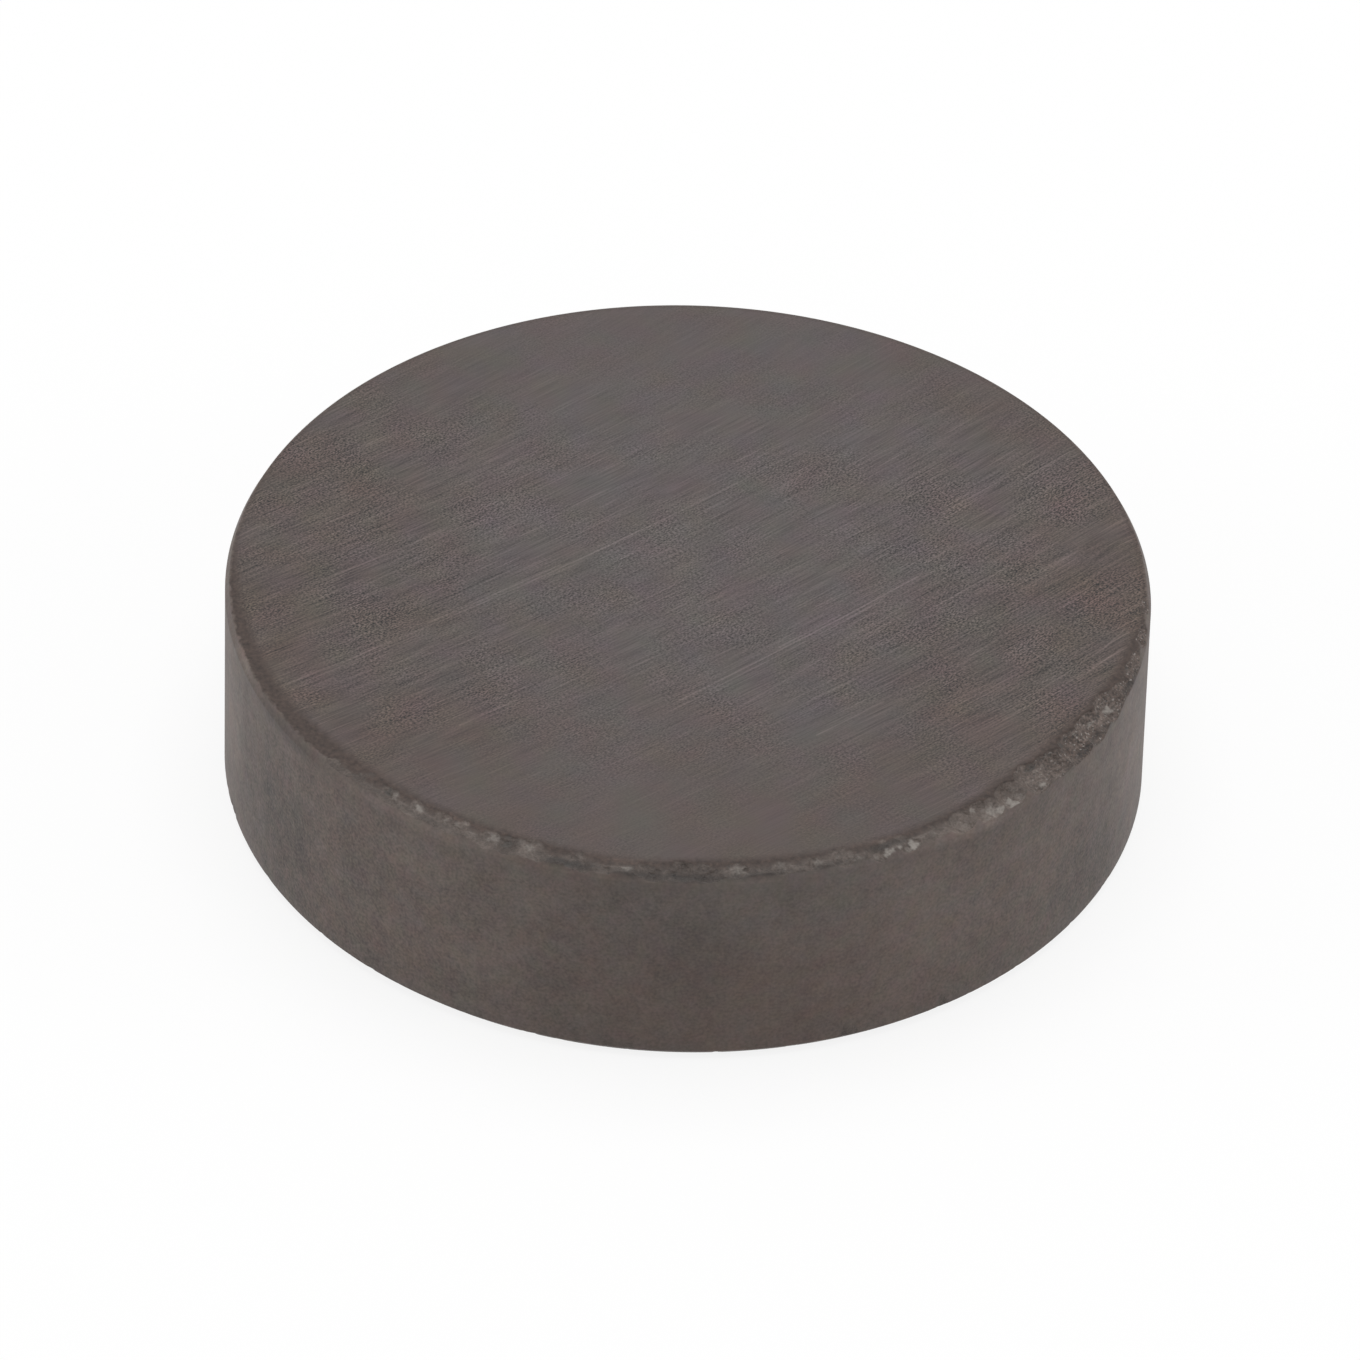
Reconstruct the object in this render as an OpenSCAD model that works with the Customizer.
// Sintered ferrite disc magnet: one fired piece with two ground pole faces and a chipped upper edge.
// Millimetres. The origin is the centre of the bottom face, +Z is up and the most worn edge faces -Y and +X.

/* [Disc] */
// Diameter across the fired wall
disc_d = 20; // [12:0.5:40]
// Thickness between the two ground pole faces
disc_h = 5; // [2.5:0.1:12]

/* [Pressed edges] */
// Width of the rolled strip that grinding left around the top face
top_edge_w = 0.4; // [0.1:0.02:0.8]
// How far that strip falls from the top face to its outer edge
top_edge_drop = 0.04; // [0.02:0.01:0.3]
// Width of the rubbed corner between that strip and the wall
top_corner_w = 0.1; // [0.02:0.02:0.3]
// How far the rubbed corner falls to the wall
top_corner_drop = 0.2; // [0.04:0.02:0.6]
// Width of the broken edge around the bottom face
bottom_edge_w = 0.2; // [0.05:0.01:0.6]
// How far that edge rises from the bottom face to the wall
bottom_edge_rise = 0.2; // [0.05:0.01:0.6]

/* [Chipped edge] */
// Furthest that a chip reaches in from the wall, across the top face
chip_reach = 0.66; // [0.4:0.02:0.9]
// Deepest that a chip runs down the wall
chip_drop = 0.4; // [0.2:0.02:0.7]
// Length along the edge of the longest chip
chip_len = 1.4; // [1:0.05:2]

/* [Hidden] */

FERRITE = "#665f5e";
WALL_SIDES = 180;
CHIP_SIDES = 48;
disc_r = disc_d / 2;

// One row for each chip, anticlockwise from +X: its angle in degrees, then its reach, its drop and its length,
// each as a share of the largest above.
CHIPS = [
    [223, 0.64, 0.25, 0.65],
    [227, 0.70, 0.25, 0.70],
    [231, 0.70, 0.25, 0.60],
    [235, 0.76, 0.27, 0.65],
    [238.5, 0.76, 0.25, 0.55],
    [241, 0.73, 0.25, 0.60],
    [245, 0.76, 0.30, 0.60],
    [248, 0.79, 0.30, 0.50],
    [251, 0.79, 0.27, 0.50],
    [254, 0.70, 0.25, 0.60],
    [257, 0.73, 0.30, 0.60],
    [261, 0.70, 0.25, 0.60],
    [266, 0.70, 0.35, 0.65],
    [270, 0.76, 0.37, 0.65],
    [273.5, 0.79, 0.37, 0.60],
    [277, 0.73, 0.30, 0.55],
    [280, 0.67, 0.27, 0.55],
    [283, 0.70, 0.27, 0.60],
    [287, 0.61, 0.27, 0.45],
    [291, 0.73, 0.33, 0.70],
    [295, 0.70, 0.37, 0.70],
    [299, 0.70, 0.42, 0.60],
    [303, 0.64, 0.42, 0.70],
    [307, 0.76, 0.47, 0.70],
    [311.5, 0.82, 0.57, 0.65],
    [315.5, 0.91, 0.60, 0.65],
    [320, 1.00, 0.68, 0.85],
    [324, 0.94, 0.80, 0.85],
    [329, 0.88, 0.95, 0.90],
    [333, 0.85, 1.00, 0.95],
    [338, 0.79, 1.00, 0.85],
    [342, 0.55, 0.68, 0.90],
    [347, 0.48, 0.62, 1.00],
    [352, 0.42, 0.52, 1.00],
    [357, 0.36, 0.37, 0.85],
];

// The disc as it leaves the grinder, turned from its half section.
module ground_disc() {
    rotate_extrude($fn = WALL_SIDES)
        polygon([
            [0, 0],
            [disc_r - bottom_edge_w, 0],
            [disc_r, bottom_edge_rise],
            [disc_r, disc_h - top_edge_drop - top_corner_drop],
            [disc_r - top_corner_w, disc_h - top_edge_drop],
            [disc_r - top_corner_w - top_edge_w, disc_h],
            [0, disc_h],
        ]);
}

// One shell-shaped chip: the ball that passes through a point on the top face, a point on the wall, and the
// two points on the sharp edge that the disc would have where the chip begins and ends.
module chip(angle, reach, drop, len) {
    half = len / 2;
    // How far the round edge falls back over half of the chip's length
    sag = disc_r - sqrt(disc_r * disc_r - half * half);
    // The ball's centre, out from the wall and up from the top face
    out = (half * half + sag * sag - reach * reach) / (2 * (reach - sag));
    up = (reach * reach + 2 * reach * out - drop * drop) / (2 * drop);
    rotate([0, 0, angle])
        translate([disc_r + out, 0, disc_h + up])
            // Its poles point along the edge and stay in the air, because a pole on the cut face spoils the cut
            rotate([90, 0, 0])
                sphere(r = norm([reach + out, up]), $fn = CHIP_SIDES);
}

module magnet() {
    color(FERRITE)
        difference() {
            ground_disc();
            for (c = CHIPS)
                chip(c[0], c[1] * chip_reach, c[2] * chip_drop, c[3] * chip_len);
        }
}

magnet();
